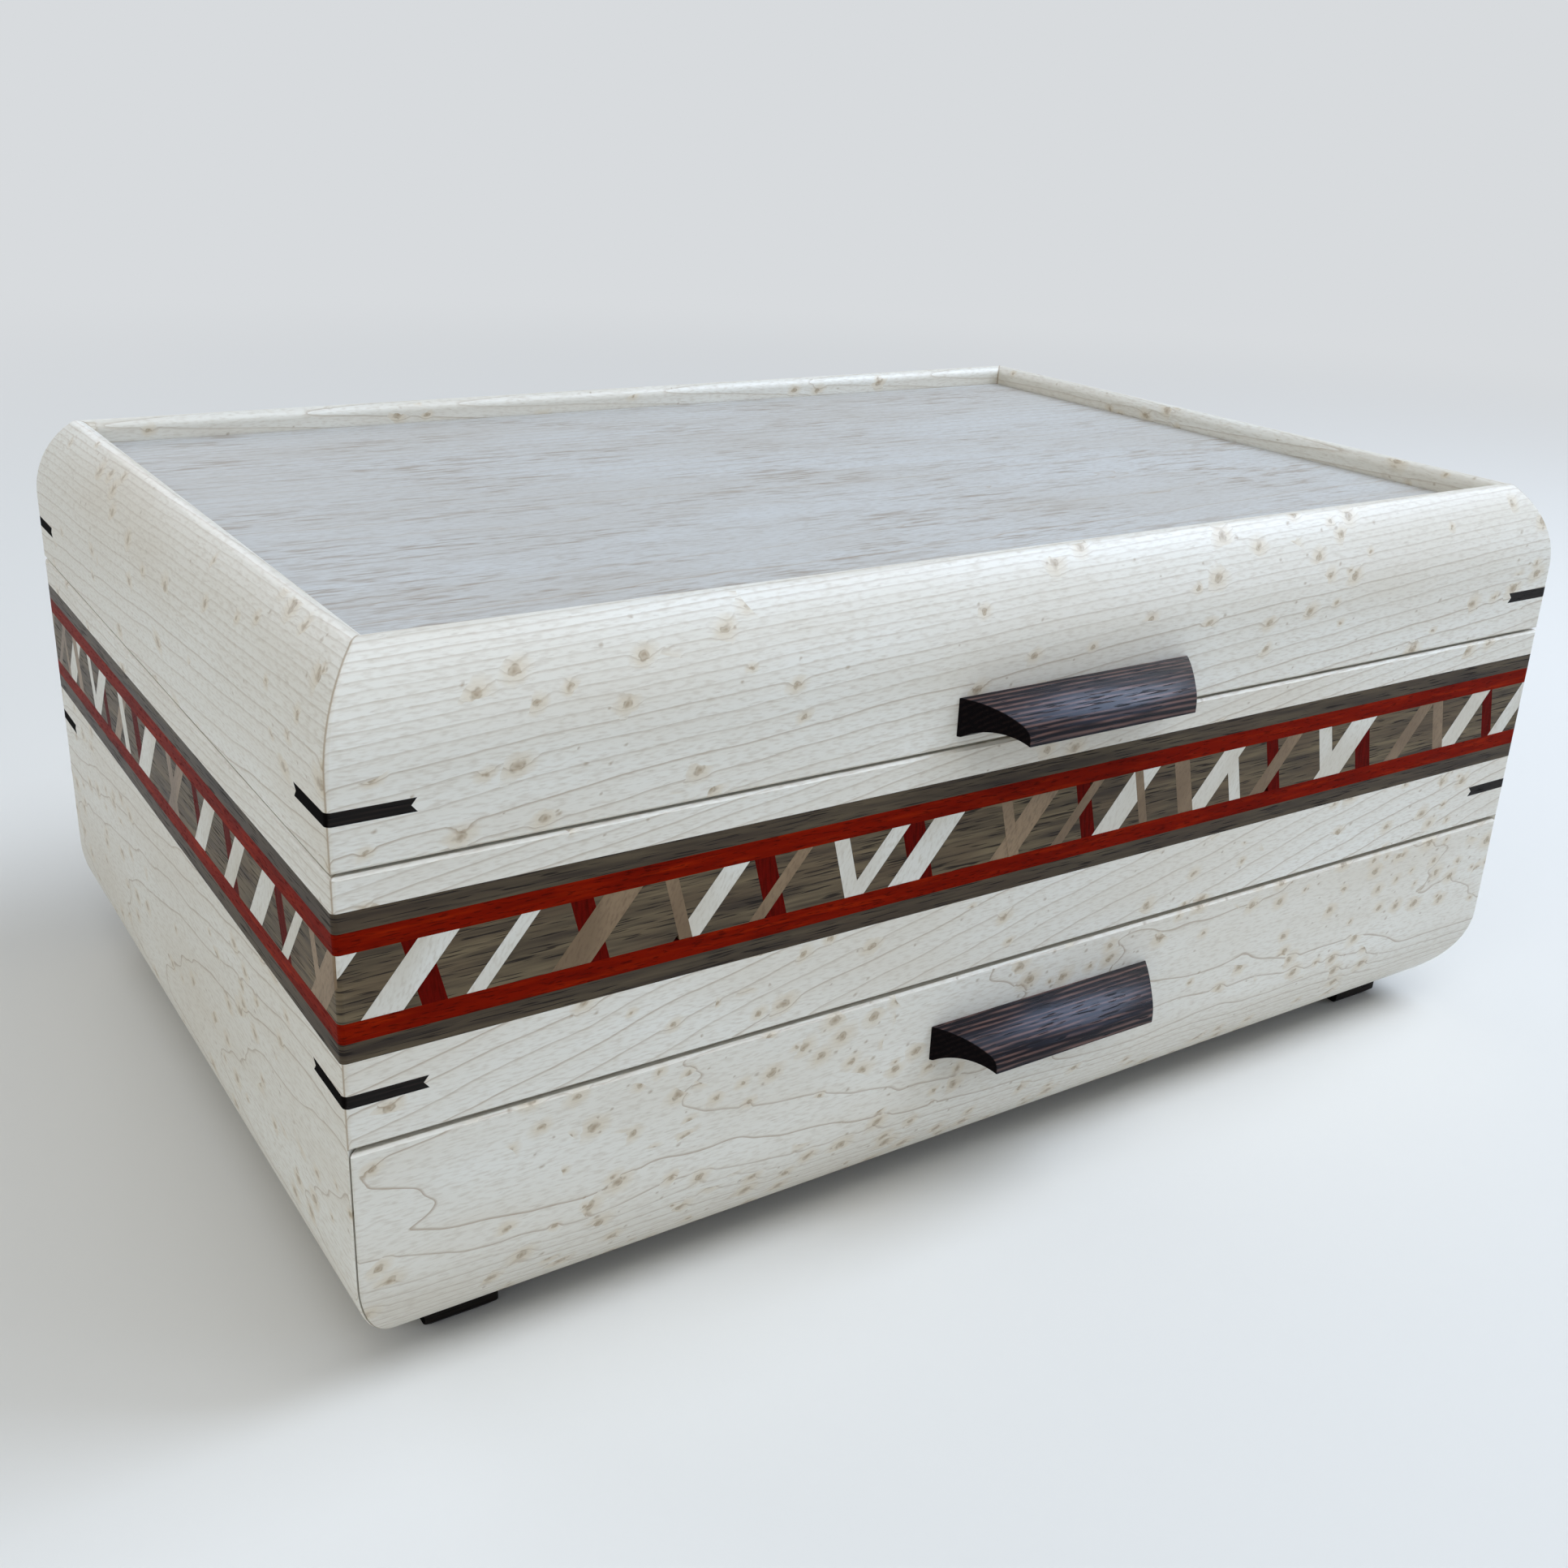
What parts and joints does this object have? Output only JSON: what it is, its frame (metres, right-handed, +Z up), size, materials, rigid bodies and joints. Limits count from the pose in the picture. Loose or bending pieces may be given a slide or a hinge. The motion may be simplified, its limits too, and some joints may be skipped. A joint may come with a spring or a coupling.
{
  "type": "puzzle box",
  "caption": "Wooden keepsake puzzle box with a hinged rounded lid, recessed top panel, slatted inlay band, a mitred drawer with a hidden drop-pin lock, finger pulls and block feet.",
  "frame": {"origin": "on the table, under the middle of the footprint with the pulls and hinge barrels", "axes": "+X right seen from the front, +Y to the back, +Z up; the front with the pulls faces -Y"},
  "size_m": [0.34, 0.2528, 0.1552],
  "materials": {
    "birdseye_maple": "satin",
    "plain_maple": "satin",
    "wenge": "satin",
    "walnut": "satin",
    "padauk": "satin",
    "cherry": "satin",
    "brass": "satin",
    "steel": "satin"
  },
  "bodies": {
    "case": {"hinge_left_case_leaf": "brass", "hinge_left_pin": "brass", "hinge_right_case_leaf": "brass", "hinge_right_pin": "brass", "hinge_case_screws": "brass", "case_front_rail": "birdseye_maple", "case_back": "birdseye_maple", "case_corner_keys": "wenge", "front_band_walnut": "walnut", "front_band_padauk": "padauk", "front_band_maple": "plain_maple", "front_band_cherry": "cherry", "right_band_walnut": "walnut", "right_band_padauk": "padauk", "right_band_maple": "plain_maple", "right_band_cherry": "cherry", "back_band_walnut": "walnut", "back_band_padauk": "padauk", "back_band_maple": "plain_maple", "back_band_cherry": "cherry", "left_band_walnut": "walnut", "left_band_padauk": "padauk", "left_band_maple": "plain_maple", "left_band_cherry": "cherry", "drawer_runner_left": "plain_maple", "case_left_side": "birdseye_maple", "drawer_runner_right": "plain_maple", "case_right_side": "birdseye_maple", "runner_screws": "steel", "lock_collar": "wenge", "compartment_floor": "plain_maple", "foot_front_left": "wenge", "foot_front_right": "wenge", "foot_back_left": "wenge", "foot_back_right": "wenge", "foot_screws": "steel", "case_bottom": "plain_maple"},
    "lid": {"hinge_left_lid_leaf": "brass", "hinge_right_lid_leaf": "brass", "hinge_lid_screws": "brass", "lid_front_rail": "birdseye_maple", "lid_right_rail": "birdseye_maple", "lid_back_rail": "birdseye_maple", "lid_left_rail": "birdseye_maple", "lid_panel": "birdseye_maple", "lid_corner_keys": "wenge", "lid_pull": "wenge", "lid_pull_screws": "steel"},
    "drawer": {"drawer_left_side": "plain_maple", "drawer_right_side": "plain_maple", "drawer_front": "birdseye_maple", "drawer_back": "plain_maple", "drawer_bottom": "plain_maple", "drawer_pull": "wenge", "drawer_pull_screws": "steel"},
    "lock": {"lock_pin": "wenge", "lock_knob": "wenge"}
  },
  "joints": [
    {"name": "lid_hinge", "type": "hinge", "parent": "case", "child": "lid", "pos_m": [0, 0.12377, 0.1163], "axis": [-1, 0, 0], "range_deg": [0, 95]},
    {"name": "drawer_slide", "type": "slide", "parent": "case", "child": "drawer", "axis": [0, -1, 0], "range_m": [0, 0.15]},
    {"name": "lock_drop", "type": "slide", "parent": "case", "child": "lock", "axis": [0, 0, -1], "range_m": [0, 0.012]}
  ]
}
